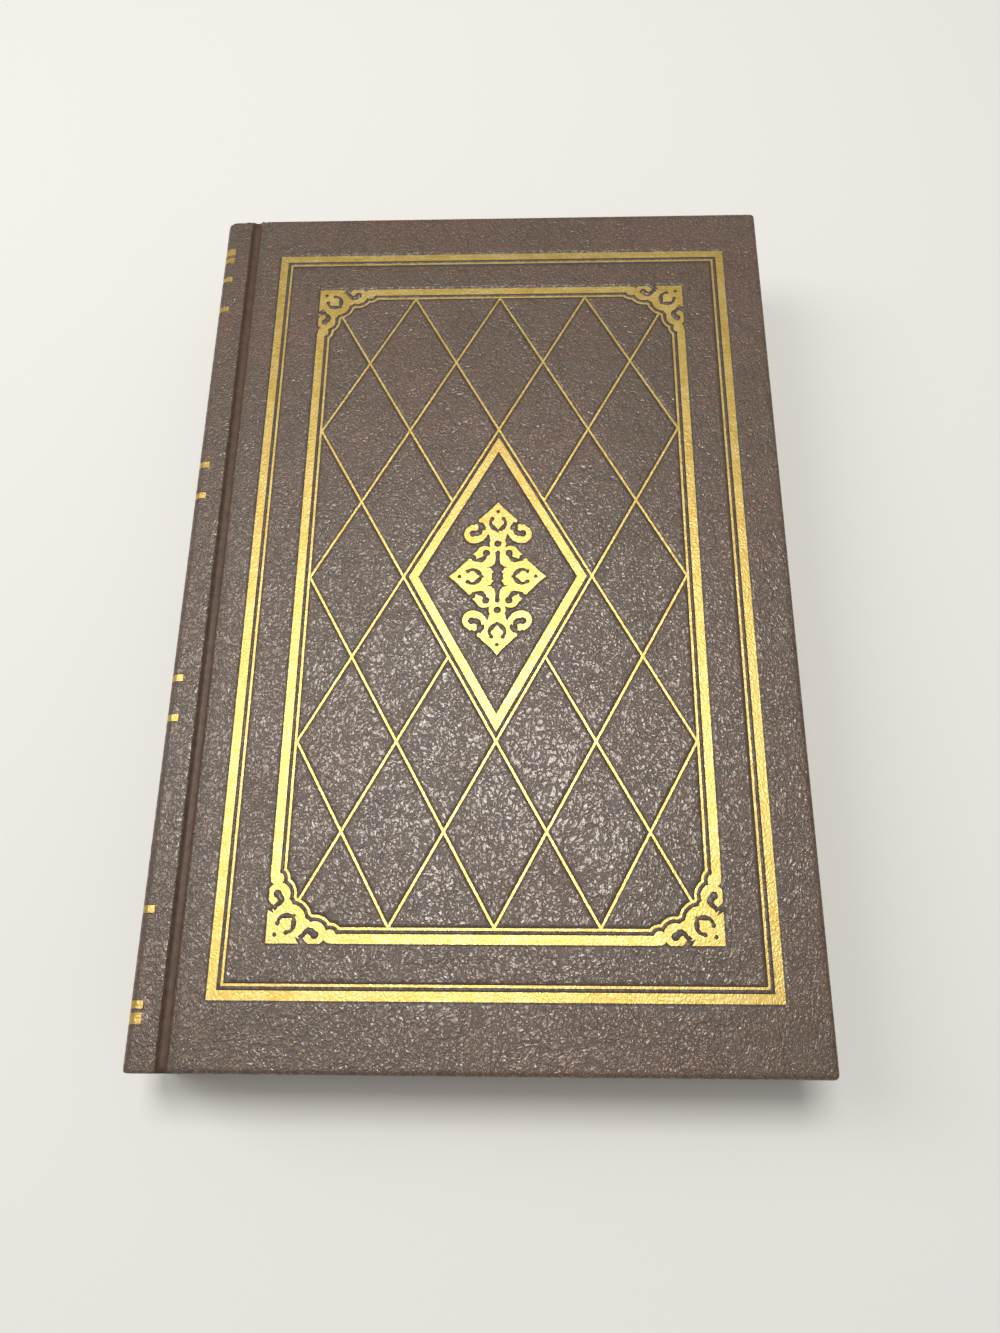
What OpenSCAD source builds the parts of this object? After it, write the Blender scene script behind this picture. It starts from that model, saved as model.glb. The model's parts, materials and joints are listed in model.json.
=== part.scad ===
// A leather book with gilt tooling, lying closed on its back cover.
// X runs from the spine to the fore edge, Y from the tail to the head, Z up from the back cover.

/* [Covers] */
// Height of the covers, tail to head
cover_h = 234; // [180:1:300]
// Width of one cover, from the joint to the fore edge
cover_w = 144.8; // [130:0.5:200]
// Thickness of the closed book
book_t = 30; // [22:0.5:50]
// Thickness of a cover board
board_t = 2.6; // [2:0.1:3.5]
// Thickness of the leather on the outer faces
leather_t = 0.8; // [0.5:0.05:1]
// Thickness of the leather where it is pared and turned in
turn_in_t = 0.4; // [0.2:0.05:0.5]
// Width of the turned-in leather
turn_in_w = 15; // [8:0.5:25]
// Rounding of the covers' outer edges
edge_r = 1.1; // [0.6:0.1:1.4]
// Rounding of the covers' corners seen from above
corner_r = 1.2; // [0.5:0.1:4]

/* [Spine] */
// Radius of the gently rounded spine, outside the leather
spine_r = 45; // [40:1:90]
// Radius that rounds the spine's long edges
spine_edge_r = 3; // [2.8:0.1:4]
// Width of the shoulder, from the spine's outermost line to the groove
shoulder_w = 9.6; // [8:0.1:14]
// How far the shoulders lie below the faces of the covers
shoulder_drop = 0.3; // [0.3:0.1:1]
// Width of the groove pressed beside the cover
groove_w = 2.2; // [1.5:0.1:3]
// Depth of the groove, below the cover's face
groove_d = 2.6; // [1:0.1:2.6]
// Rounding of the ridge between a shoulder and its groove
ridge_r = 0.5; // [0.2:0.1:0.7]
// Thickness of the card inside the spine
spine_card_t = 1; // [0.6:0.1:1.4]
// How far the card stops short of the flat shoulders
card_inset = 0.5; // [0.1:0.1:2]

/* [Pages] */
// How far the covers reach past the pages at head, tail and fore edge
square_w = 3.5; // [2:0.5:6]
// Hollow of the fore edge
fore_hollow = 3.5; // [1:0.5:6]
// Thickness of an endpaper
endpaper_t = 0.2; // [0.1:0.05:0.4]
// How far a pastedown lies inside the cover's edges
pastedown_inset = 3.5; // [2:0.5:8]
// Thickness of the lining glued on the back of the pages
lining_t = 0.6; // [0.3:0.1:1]
// Diameter of the head and tail bands
band_d = 2.4; // [1.6:0.1:3]

/* [Gilt frames] */
// Width of the outer frame
frame_w = 127.2; // [110:0.2:180]
// Height of the outer frame
frame_h = 205.2; // [150:0.2:280]
// How far the frame's middle lies from the cover's middle, towards the fore edge
frame_shift_x = -1.4; // [-3:0.1:3]
// How far the frame's middle lies from the cover's middle, towards the head
frame_shift_y = 0.8; // [-3:0.1:3]
// Distance between the outer and the inner frame
frame_step = 12.2; // [9:0.1:16]
// Width of the broad gilt rule
broad_rule = 2.1; // [1:0.1:3]
// Gap between the broad rule and the fine one
rule_gap = 0.9; // [0.5:0.1:1.5]
// Width of the fine gilt rule
fine_rule = 0.55; // [0.4:0.05:0.8]
// Depth of the pressed lines below the leather's face
press_d = 0.14; // [0.1:0.02:0.2]
// Thickness of the gilt at the bottom of a pressed line
gilt_t = 0.06; // [0.02:0.01:0.08]
// Number of lattice diamonds across the panel, an even number
diamonds = 4; // [4:2:8]

/* [Gilt ornaments] */
// Length of one unit in the drawings of the ornaments
unit = 1; // [0.9:0.01:1.1]
// Distance from the middle of the centre ornament to its upper and lower points
ornament_reach_y = 21.3; // [20:0.1:24]
// Distance from the middle of the centre ornament to its side points
ornament_reach_x = 12.4; // [12:0.1:14]
// Distance from a point to the barbs behind it
barb_back = 5.3; // [4.8:0.1:5.8]
// Width across the barbs
barb_span = 9.8; // [9:0.1:10.4]
// Distance from a point to the middle of its pierced ring
ring_back = 6.2; // [6:0.1:6.6]
// Mid radius of the pierced ring
ring_r = 2; // [1.7:0.1:2.1]
// Width of the pierced slots
slot_w = 0.7; // [0.5:0.05:0.8]
// Radius of the scrolls
scroll_r = 2.6; // [2.2:0.1:2.8]
// Radius of the small scrolls
small_scroll_r = 2.1; // [1.8:0.1:2.3]
// Radius of the scrolls' eyes
eye_r = 0.95; // [0.7:0.05:1]

/* [Gilt on the spine] */
// Width of the single gilt lines
spine_line_w = 1.7; // [1:0.1:2.5]
// Width of the broad gilt line at the head and at the tail
spine_broad_w = 2.4; // [1.5:0.1:4]
// Distance of the broad lines from the ends of the spine
spine_pair_inset = 11.3; // [8:0.1:16]
// Distance from a broad line to the single line beside it
spine_pair_step = 2.9; // [2.8:0.1:5]
// How far the gilt lines reach past the spine's rounded edges
spine_line_reach = 0.6; // [0.1:0.1:2]
// Places of the other lines, in hundredths of the spine's height from its head
spine_lines = [9, 13.5, 35.3, 39.3, 61.2, 65.6, 85.1]; // [8:0.1:92]

/* [Hidden] */
$fn = 48;

// Clearances
// Between parts that move past each other
run_gap = 0.2;
// Overlap that makes a cut go right through
over = 1;

// Places across the book
mid_z = book_t / 2;
book_w = shoulder_w + groove_w + cover_w;
spine_x = -book_w / 2;
fore_x = book_w / 2;
spine_axis_x = spine_x + spine_r;
groove_x = spine_x + shoulder_w;
cover_x = groove_x + groove_w;
cover_mid_x = cover_x + cover_w / 2;

// Heights above and below the book's middle
shoulder_rise = mid_z - shoulder_drop;
edge_rise = shoulder_rise - spine_edge_r;
edge_angle = asin(edge_rise / (spine_r - spine_edge_r));
edge_x = spine_axis_x - (spine_r - spine_edge_r) * cos(edge_angle);
card_end_x = edge_x - card_inset;
groove_rise = mid_z - groove_d;

// Layers of one cover, counted from its outer face
board_x = cover_x + leather_t;
board_w = cover_w - 2 * leather_t;
board_h = cover_h - 2 * leather_t;
cover_t = leather_t + board_t + endpaper_t;

// The pages between the covers, and what is glued to their back
block_rise = mid_z - cover_t - run_gap - endpaper_t;
block_h = cover_h - 2 * square_w;
block_fore_x = fore_x - square_w;
block_shoulder_x = groove_x - leather_t;
block_shoulder_rise = shoulder_rise - leather_t - run_gap / 2;
lining_r = spine_r - leather_t - spine_card_t - turn_in_t - run_gap / 2;
block_r = lining_r - lining_t;
fore_r = (block_rise * block_rise + fore_hollow * fore_hollow) / (2 * fore_hollow);
band_r = block_r - band_d / 2;
band_angle = asin((block_rise - band_d / 2) / band_r);

// The gilt panel
panel_x = cover_mid_x + frame_shift_x;
panel_y = frame_shift_y;
inner_w = frame_w - 2 * frame_step;
inner_h = frame_h - 2 * frame_step;
field_w = inner_w - 2 * (broad_rule + rule_gap + fine_rule);
field_h = inner_h - 2 * (broad_rule + rule_gap + fine_rule);
diamond_w = field_w / diamonds;
diamond_h = field_h / diamonds;

// Places inside the ornaments
big_scroll_x = 6.1;
big_scroll_back = 9.3;
scroll_lobe_out = (big_scroll_back + big_scroll_x) / sqrt(2);
scroll_lobe_in = (big_scroll_back - big_scroll_x) / sqrt(2);
neck_y = 9.25;
neck_r = 2.1;
small_scroll_x = 3.3;
small_scroll_y = 6.5;
barb_knob_r = 0.6;
corner_reach = 16.4;
foot_w = 1.6;

leather_colour = [0.26, 0.17, 0.14];
gilt_colour = [0.85, 0.70, 0.36];
paper_colour = [0.90, 0.86, 0.75];
card_colour = [0.55, 0.50, 0.44];

// Shared forms

// A bar of the size [x, y, z] from its lowest corner
module bar(size, place) {
    translate(place) cube(size);
}

// The other side of the book, mirrored about its middle
module back_side() {
    translate([0, 0, book_t]) mirror([0, 0, 1]) children();
}

// The section of a flat slab with its two upper edges rounded
module rounded_top(width, height, r) {
    square([width, height - r]);
    translate([r, 0]) square([width - 2 * r, height]);
    for (x = [r, width - r]) translate([x, height - r]) circle(r = r);
}

// A rectangle with rounded corners
module rounded_plate(width, height, r) {
    translate([r, 0]) square([width - 2 * r, height]);
    translate([0, r]) square([width, height - 2 * r]);
    for (x = [r, width - r], y = [r, height - r]) translate([x, y]) circle(r = r);
}

// The outside of a leather-covered cover: flat, with all its outer edges rounded
module cover_outside() {
    thick = leather_t + board_t;
    intersection() {
        translate([cover_x, cover_h / 2, book_t - thick]) rotate([90, 0, 0])
            linear_extrude(cover_h) rounded_top(cover_w, thick, edge_r);
        translate([cover_x, -cover_h / 2, book_t - thick]) rotate([90, 0, 90])
            linear_extrude(cover_w) rounded_top(cover_h, thick, edge_r);
        translate([cover_x, -cover_h / 2, book_t - thick])
            linear_extrude(thick) rounded_plate(cover_w, cover_h, corner_r);
    }
}

// The room that the board takes inside the leather, with the turned-in leather let into its face
module board_shape() {
    low = book_t - leather_t - board_t;
    bar([board_w, board_h, board_t - turn_in_t], [board_x, -board_h / 2, low + turn_in_t]);
    bar([board_w - turn_in_w, board_h - 2 * turn_in_w, board_t],
        [board_x, -board_h / 2 + turn_in_w, low]);
}

module cover_leather() {
    difference() {
        cover_outside();
        board_shape();
        // The inner face is open between the turn-ins, right up to the joint
        bar([board_w - turn_in_w + over, board_h - 2 * turn_in_w, board_t],
            [board_x - over, -board_h / 2 + turn_in_w, book_t - leather_t - board_t - over]);
    }
}

module pastedown_shape() {
    bar([board_w - pastedown_inset, cover_h - 2 * pastedown_inset, endpaper_t],
        [board_x, -cover_h / 2 + pastedown_inset, book_t - cover_t]);
}

// A flyleaf on the pages, its fold beside the shoulder, and the strip of the same sheet below the groove
module flyleaf_shape() {
    low = mid_z + block_rise;
    strip_low = book_t - groove_d - leather_t - endpaper_t;
    bar([block_fore_x - block_shoulder_x, block_h, endpaper_t], [block_shoulder_x, -block_h / 2, low]);
    bar([endpaper_t, block_h, strip_low + endpaper_t - low], [block_shoulder_x, -block_h / 2, low]);
    bar([cover_x - run_gap - block_shoulder_x, block_h, endpaper_t],
        [block_shoulder_x, -block_h / 2, strip_low]);
}

// Sections across the spine lie in X and Z. They are extruded along the book.
module along_book(length) {
    translate([0, length / 2, 0]) rotate([90, 0, 0]) linear_extrude(length) children();
}

// The section of the spine with its shoulders, taken in by a margin on all sides
module spine_section(inwards) {
    top = shoulder_rise - inwards;
    side = groove_x - inwards;
    r = max(ridge_r - inwards, 0);
    intersection() {
        translate([spine_axis_x, mid_z]) circle(r = spine_r - inwards);
        polygon([[spine_axis_x - 2 * spine_r, mid_z + 2 * spine_r * tan(edge_angle)],
                 [spine_axis_x - 2 * spine_r, mid_z - 2 * spine_r * tan(edge_angle)],
                 [spine_axis_x, mid_z]]);
        translate([spine_x - over, 0]) square([side - r - spine_x + over, book_t]);
    }
    translate([edge_x, mid_z - top]) square([side - r - edge_x, 2 * top]);
    for (end = [-1, 1]) translate([edge_x, mid_z + end * edge_rise]) circle(r = spine_edge_r - inwards);
    // The ridge is sharp on its inside
    if (r > 0) {
        translate([edge_x, mid_z - top + r]) square([side - edge_x, 2 * (top - r)]);
        for (end = [-1, 1]) translate([side - r, mid_z + end * (top - r)]) circle(r = r);
    }
}

// The layer between two margins, on the spine's face and round its edges only
module spine_layer(outer, inner, end_x) {
    intersection() {
        difference() {
            spine_section(outer);
            spine_section(inner);
        }
        translate([spine_x - over, -over]) square([end_x - spine_x + over, book_t + 2 * over]);
    }
}

// Gilt work, drawn flat about the middle of the panel

module frame_band(width, height, line) {
    difference() {
        square([width, height], center = true);
        square([width - 2 * line, height - 2 * line], center = true);
    }
}

// A point with two barbs behind it, its tip at the origin and its body below
module finial_body() {
    half = barb_span / 2;
    waist = half * 0.64;
    stem = -ring_back - ring_r - 1.4 * unit;
    for (side = [0, 1]) mirror([side, 0]) {
        polygon([[-0.1 * unit, stem - 1.2 * unit], [2 * unit, stem - 1.2 * unit], [2.2 * unit, stem],
                 [waist, -ring_back - ring_r], [waist, -barb_back - 1.8 * unit],
                 [half - unit, -barb_back - 0.7 * unit], [half - 0.3 * unit, -barb_back + 0.4 * unit],
                 [half * 0.72, -barb_back * 0.7], [half * 0.3, -barb_back * 0.34], [0, 0], [-0.1 * unit, 0]]);
        translate([half - 0.5 * unit, -barb_back]) circle(r = barb_knob_r);
    }
}

// A dot, and a ring round a heart, open towards the point
module finial_piercing() {
    translate([0, -ring_back / 2 + 0.4 * unit]) circle(r = 0.5 * unit);
    translate([0, -ring_back]) {
        difference() {
            circle(r = ring_r + slot_w / 2);
            for (side = [-1, 1]) translate(unit * [side * 0.72, 0.25]) circle(r = 0.8 * unit);
            polygon([[0, -ring_r + 0.3 * unit], [1.4 * unit, 0], [-1.4 * unit, 0]]);
            polygon([[0, -0.6 * unit], [2.2 * unit, ring_r + unit], [-2.2 * unit, ring_r + unit]]);
        }
        for (side = [-1, 1]) translate([side * ring_r * 0.72, ring_r * 0.7]) circle(r = 0.55 * unit);
        translate([-slot_w / 2, -ring_r - slot_w]) square(slot_w);
    }
}

// The two big scrolls beside a point, hooked up towards its barbs
module big_scrolls() {
    for (side = [0, 1]) mirror([side, 0]) translate([big_scroll_x, -big_scroll_back]) {
        circle(r = scroll_r);
        polygon(unit * [[1, 1], [1.3, 2.1], [0.8, 2.8], [0.1, 2.6], [-0.4, 2.95], [-0.9, 2.7], [-1.1, 1]]);
        polygon(unit * [[-3.6, 0.2], [-3, -0.9], [-2.2, -1.9], [-1, -2.45], [0, -2.6], [0, 0], [-3.6, 1.6]]);
    }
}

module big_scroll_eyes() {
    for (side = [0, 1]) mirror([side, 0]) translate([big_scroll_x, -big_scroll_back]) {
        translate(unit * [0.3, 0.2]) circle(r = eye_r);
        polygon(unit * [[0, 0.9], [-1, 1.2], [-0.9, 3.2], [-2.2, 3.1], [-2, 2], [-2.2, 1.2], [-2, 0.1],
                        [-1.2, -0.5], [0, -0.6]]);
    }
}

// Two upright points with their scrolls, two side points, and the arms and small scrolls that join them
module centre_flat() {
    difference() {
        union() {
            for (end = [0, 1]) mirror([0, end]) {
                translate([0, ornament_reach_y]) {
                    finial_body();
                    big_scrolls();
                }
                translate([0, neck_y]) circle(r = neck_r);
                for (side = [0, 1]) mirror([side, 0]) centre_arm();
            }
            for (side = [-1, 1]) translate([side * ornament_reach_x, 0]) rotate(-90 * side) finial_body();
        }
        for (end = [0, 1]) mirror([0, end]) {
            translate([0, ornament_reach_y]) {
                finial_piercing();
                big_scroll_eyes();
            }
            translate([0, neck_y]) circle(r = eye_r);
            for (side = [0, 1]) mirror([side, 0]) small_scroll_eye();
        }
        for (side = [-1, 1]) translate([side * ornament_reach_x, 0]) rotate(-90 * side) finial_piercing();
        centre_void();
    }
}

// The small scroll above the arm, and the arm that sweeps from the neck out to the side point
module centre_arm() {
    translate([small_scroll_x, small_scroll_y]) {
        circle(r = small_scroll_r);
        polygon(unit * [[0.8, -1], [2.1, -1.8], [2.3, -0.7], [3, -0.3], [2.4, 0.3], [0.9, 1.5]]);
    }
    polygon(unit * [[-0.1, -0.1], [6.6, -0.1], [6.6, 4.4], [4.2, 3.9], [2.9, 4.4], [2.1, 5.4],
                    [1.9, 8.25], [-0.1, 8.25]]);
}

module small_scroll_eye() {
    translate([small_scroll_x, small_scroll_y]) {
        translate(unit * [-0.4, 0.1]) circle(r = eye_r);
        polygon(unit * [[-0.5, -1.3], [0, -2], [1.2, -2.3], [2.6, -1.9], [1.6, -1.3], [0.7, -1],
                        [0.3, -0.4], [-0.6, -0.3]]);
    }
}

// The upright opening in the middle, with a pointed cusp at each side
module centre_void() {
    for (end = [0, 1], side = [0, 1]) mirror([0, end]) mirror([side, 0])
        polygon(unit * [[1.4, -0.1], [1.5, 0.7], [1, 1.3], [1.5, 1.7], [1.7, 2.3], [2.8, 2.6],
                        [1.5, 2.9], [0.75, 3.6], [0.5, 5], [0.65, 6.9], [0, 7.4], [-0.1, 7.4],
                        [-0.1, -0.1]]);
}

// The lobes of a corner ornament, grown by a margin. The corner is at the origin, inwards is +X and -Y.
module corner_lobes(grow) {
    for (side = [0, 1]) mirror([side, side]) {
        translate([scroll_lobe_out, -scroll_lobe_in]) circle(r = scroll_r + grow);
        translate(unit * [8, -3.3]) circle(r = 2.3 * unit + grow);
        translate(unit * [14.4, -1.6]) circle(r = 1.5 * unit + grow);
    }
    translate(unit * [5.3, -5.3]) circle(r = 3.3 * unit + grow);
}

// Children at the four corners of the inner frame
module at_corners() {
    for (x = [0, 1], y = [0, 1]) mirror([x, 0]) mirror([0, y])
        translate([-inner_w / 2, inner_h / 2]) children();
}

// The same point and scrolls as in the centre, turned into a corner of the inner frame
module corner_flat() {
    difference() {
        intersection() {
            union() {
                corner_lobes(0);
                for (side = [0, 1]) mirror([side, side]) {
                    polygon(unit * [[0, -6], [6, -6], [6.6, -1.2], [7.4, 0], [0, 0]]);
                    translate([corner_reach - foot_w, -broad_rule]) square([foot_w, broad_rule]);
                }
            }
            translate([0, -corner_reach]) square(corner_reach);
        }
        rotate(45) finial_piercing();
        rotate(45) big_scroll_eyes();
        for (side = [0, 1]) mirror([side, side])
            translate([corner_reach - 0.3 * unit, -broad_rule - 0.5 * unit]) circle(r = 0.6 * unit);
    }
}

// The field inside the inner frame, its corners cut back round the ornaments
module field(grow) {
    difference() {
        square([field_w - 2 * grow, field_h - 2 * grow], center = true);
        at_corners() corner_lobes(rule_gap + fine_rule + grow);
    }
}

module lozenge(shrink) {
    slope = diamond_h / diamond_w;
    run = diamond_w - shrink * sqrt(1 + slope * slope) / slope;
    polygon([[run, 0], [0, run * slope], [-run, 0], [0, -run * slope]]);
}

// The fine lines that cross at the corners of the diamonds. Those round the lozenge are its outer line.
module lattice_flat(past_field) {
    intersection() {
        field(-past_field);
        union() {
            for (k = [1:diamonds - 1], side = [-1, 1]) lattice_lines(side * k);
            // The two lines through the middle stop at the lozenge
            difference() {
                lattice_lines(0);
                lozenge(0);
            }
        }
    }
}

// The two fine lines that cross at a place on the panel's middle line
module lattice_lines(place) {
    reach = norm([field_w, field_h]);
    for (side = [-1, 1]) translate([place * diamond_w, 0]) rotate(side * atan2(diamond_h, diamond_w))
        square([reach, fine_rule], center = true);
}

// Gilt at the bottom of the lines that are pressed into the front cover
module gilt_layer() {
    color(gilt_colour) translate([panel_x, panel_y, book_t - press_d]) linear_extrude(gilt_t) children();
}

module outer_frame_flat() {
    inset = 2 * (broad_rule + rule_gap);
    frame_band(frame_w, frame_h, broad_rule);
    frame_band(frame_w - inset, frame_h - inset, fine_rule);
}

module inner_frame_flat() {
    difference() {
        frame_band(inner_w, inner_h, broad_rule);
        at_corners() translate([0, -corner_reach]) square(corner_reach);
    }
    difference() {
        field(-fine_rule);
        field(0);
    }
}

module lozenge_flat() {
    difference() {
        lozenge(fine_rule / 2 + rule_gap);
        lozenge(fine_rule / 2 + rule_gap + broad_rule);
    }
}

module outer_frame() { gilt_layer() outer_frame_flat(); }
module inner_frame() { gilt_layer() inner_frame_flat(); }
module lattice() { gilt_layer() lattice_flat(0); }
module lozenge_frame() { gilt_layer() lozenge_flat(); }
module centre_ornament() { gilt_layer() centre_flat(); }
module corner_ornaments() { gilt_layer() at_corners() corner_flat(); }

// Children at the heights of the gilt lines on the spine, as thick as each line
module at_spine_line(from_head, width) {
    translate([0, cover_h / 2 - from_head, 0]) along_book(width) children();
}

// The lines pressed into the spine, from a margin outside its face down to their bottom
module spine_lines_shape(outer) {
    for (place = spine_lines) at_spine_line(place * cover_h / 100, spine_line_w) spine_line_section(outer);
    for (end = [0, 1]) mirror([0, end, 0]) {
        at_spine_line(spine_pair_inset, spine_broad_w) spine_line_section(outer);
        at_spine_line(spine_pair_inset + spine_pair_step, spine_line_w) spine_line_section(outer);
    }
}

module spine_line_section(outer) {
    spine_layer(outer, press_d, edge_x + spine_line_reach);
}

module spine_rules() {
    color(gilt_colour) spine_lines_shape(press_d - gilt_t);
}

// Covers

// All the gilt on the front cover. The lattice lines run on into the frame's fine line.
module cover_gilt() {
    outer_frame_flat();
    inner_frame_flat();
    lattice_flat(fine_rule / 2);
    lozenge_flat();
    centre_flat();
    at_corners() corner_flat();
}

module front_leather() {
    color(leather_colour) difference() {
        cover_leather();
        translate([panel_x, panel_y, book_t - press_d]) linear_extrude(press_d + over) cover_gilt();
    }
}

module back_leather() { color(leather_colour) back_side() cover_leather(); }
module front_board() { color(card_colour) board_shape(); }
module back_board() { color(card_colour) back_side() board_shape(); }
module front_pastedown() { color(paper_colour) pastedown_shape(); }
module back_pastedown() { color(paper_colour) back_side() pastedown_shape(); }
module front_flyleaf() { color(paper_colour) flyleaf_shape(); }
module back_flyleaf() { color(paper_colour) back_side() flyleaf_shape(); }

// Spine

// The section of the leather over the spine, its shoulders and the floors of the grooves
module spine_leather_section() {
    wall_rise = groove_rise - leather_t;
    difference() {
        spine_section(0);
        spine_section(leather_t);
        translate([block_shoulder_x - over, mid_z - wall_rise])
            square([leather_t + 2 * over, 2 * wall_rise]);
    }
    for (low = [mid_z + wall_rise, mid_z - groove_rise]) translate([block_shoulder_x, low])
        square([cover_x - run_gap - block_shoulder_x, leather_t]);
}

// The leather where it folds over the end of the card, as thick as the card and the turn-in
module spine_cap_section() {
    difference() {
        spine_leather_section();
        translate([spine_x, 0]) square([card_end_x - spine_x, book_t]);
    }
    spine_layer(0, leather_t + spine_card_t + turn_in_t, card_end_x);
}

// The leather of the spine, turned in over the card at the head and the tail
module spine_leather() {
    inner = leather_t + spine_card_t;
    color(leather_colour) difference() {
        union() {
            along_book(cover_h - 2 * leather_t) spine_leather_section();
            for (end = [0, 1]) mirror([0, end, 0]) {
                translate([0, (cover_h - leather_t) / 2, 0]) along_book(leather_t) spine_cap_section();
                translate([0, (cover_h - turn_in_w - leather_t) / 2, 0])
                    along_book(turn_in_w - leather_t) spine_layer(inner, inner + turn_in_t, card_end_x);
            }
        }
        spine_lines_shape(-over);
    }
}

module spine_card() {
    color(card_colour) along_book(cover_h - 2 * leather_t)
        spine_layer(leather_t, leather_t + spine_card_t, card_end_x);
}

// Pages

// The back of the pages, rounded about the same line as the spine
module back_round(r, rise) {
    intersection() {
        translate([spine_axis_x, mid_z]) circle(r = r);
        translate([spine_x, mid_z - rise]) square([block_shoulder_x - spine_x, 2 * rise]);
    }
}

module text_block() {
    color(paper_colour) along_book(block_h) difference() {
        union() {
            back_round(block_r, block_shoulder_rise);
            translate([block_shoulder_x - over, mid_z - block_rise])
                square([block_fore_x - block_shoulder_x + 2 * over, 2 * block_rise]);
        }
        translate([block_fore_x - fore_hollow + fore_r, mid_z]) circle(r = fore_r);
    }
}

module back_lining() {
    color([0.80, 0.74, 0.62]) along_book(block_h) difference() {
        back_round(lining_r, edge_rise - run_gap);
        translate([spine_axis_x, mid_z]) circle(r = block_r);
    }
}

// A band at one end of the pages, bent to the round of their back
module end_band() {
    translate([spine_axis_x, block_h / 2 + band_d / 2, mid_z]) rotate([-90, 0, 0])
        rotate(180 - band_angle) rotate_extrude(angle = 2 * band_angle)
            translate([band_r, 0]) circle(d = band_d);
}

module headband() { color([0.55, 0.20, 0.16]) end_band(); }
module tailband() { color([0.55, 0.20, 0.16]) mirror([0, 1, 0]) end_band(); }

front_board();
back_board();
spine_card();
front_leather();
spine_leather();
back_leather();
text_block();
back_lining();
headband();
tailband();
front_pastedown();
back_pastedown();
front_flyleaf();
back_flyleaf();
outer_frame();
inner_frame();
lattice();
lozenge_frame();
centre_ornament();
corner_ornaments();
spine_rules();
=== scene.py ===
import json
import math

import bpy
import numpy as np
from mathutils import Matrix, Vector
from mathutils.bvhtree import BVHTree
from mathutils.geometry import delaunay_2d_cdt


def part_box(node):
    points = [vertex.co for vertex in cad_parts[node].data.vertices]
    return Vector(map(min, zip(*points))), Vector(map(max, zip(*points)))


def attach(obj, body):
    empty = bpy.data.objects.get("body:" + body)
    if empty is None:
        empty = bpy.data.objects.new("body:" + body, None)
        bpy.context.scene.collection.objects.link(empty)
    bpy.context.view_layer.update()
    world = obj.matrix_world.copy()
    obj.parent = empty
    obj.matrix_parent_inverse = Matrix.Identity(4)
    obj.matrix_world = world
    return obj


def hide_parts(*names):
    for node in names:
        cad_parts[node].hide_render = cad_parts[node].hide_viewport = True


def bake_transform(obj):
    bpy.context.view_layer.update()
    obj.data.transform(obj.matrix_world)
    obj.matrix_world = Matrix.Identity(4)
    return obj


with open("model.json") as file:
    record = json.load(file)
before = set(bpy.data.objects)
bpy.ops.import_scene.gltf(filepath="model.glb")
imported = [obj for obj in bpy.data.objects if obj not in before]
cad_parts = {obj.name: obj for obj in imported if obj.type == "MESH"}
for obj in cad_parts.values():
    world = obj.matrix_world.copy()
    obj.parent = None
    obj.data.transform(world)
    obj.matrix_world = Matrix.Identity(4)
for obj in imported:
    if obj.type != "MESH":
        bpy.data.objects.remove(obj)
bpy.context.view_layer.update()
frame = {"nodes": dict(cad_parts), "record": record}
nodes = frame["nodes"]
mm = 0.001


# Camera, lamps and floor

view = {
    "place": (12.6, -107.8, 260.8),      # mm, above the tail half of the cover
    "turn": (20.05, 1.634, 0.464),       # degrees about X, Y, Z
    "lens": 36.04,
    "film": 36,                          # mm, its width
}

cameraData = bpy.data.cameras.new("camera")
cameraData.sensor_fit = "HORIZONTAL"
cameraData.sensor_width = view["film"]
cameraData.lens = view["lens"]
cameraData.clip_start = 0.01
camera = bpy.data.objects.new("camera", cameraData)
camera.location = Vector(view["place"]) * mm
camera.rotation_euler = [math.radians(a) for a in view["turn"]]
bpy.context.scene.collection.objects.link(camera)
bpy.context.scene.camera = camera

lampTint = (1.0, 0.98, 0.92)
lamps = {
    "softboxAbove": {"place": (-0.03, 0.20, 1.05), "aim": (0, 0, 0), "size": (0.34, 0.30), "watts": 6.2},
    "softboxSide": {"place": (-0.82, 0.25, 0.88), "aim": (0, 0, 0), "size": (0.5, 0.8), "watts": 4.8},
}

for name, lamp in lamps.items():
    data = bpy.data.lights.new(name, "AREA")
    data.shape = "RECTANGLE"
    data.size, data.size_y = lamp["size"]
    data.energy = lamp["watts"]
    data.color = lampTint
    box = bpy.data.objects.new(name, data)
    box.location = lamp["place"]
    box.rotation_euler = (Vector(lamp["aim"]) - Vector(lamp["place"])).to_track_quat("-Z", "Y").to_euler()
    bpy.context.scene.collection.objects.link(box)

bpy.context.scene.view_settings.view_transform = "Standard"


# Materials: a wire is one socket, so shader maths reads as plain expressions

class Wire:
    def __init__(self, look, socket):
        self.look = look
        self.socket = socket

    def maths(self, kind, first, second):
        return self.look.maths(kind, first, second)

    def __add__(self, other):
        return self.maths("ADD", self, other)

    def __radd__(self, other):
        return self.maths("ADD", other, self)

    def __sub__(self, other):
        return self.maths("SUBTRACT", self, other)

    def __rsub__(self, other):
        return self.maths("SUBTRACT", other, self)

    def __mul__(self, other):
        return self.maths("MULTIPLY", self, other)

    def __rmul__(self, other):
        return self.maths("MULTIPLY", other, self)

    def __abs__(self):
        return self.maths("ABSOLUTE", self, 0)

    # 0 below the first value, 1 above the second
    def step(self, low, high):
        return self.look.node("ShaderNodeMapRange", {"interpolation_type": "SMOOTHSTEP"},
                              {0: self, 1: low, 2: high, 3: 0.0, 4: 1.0})


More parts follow.
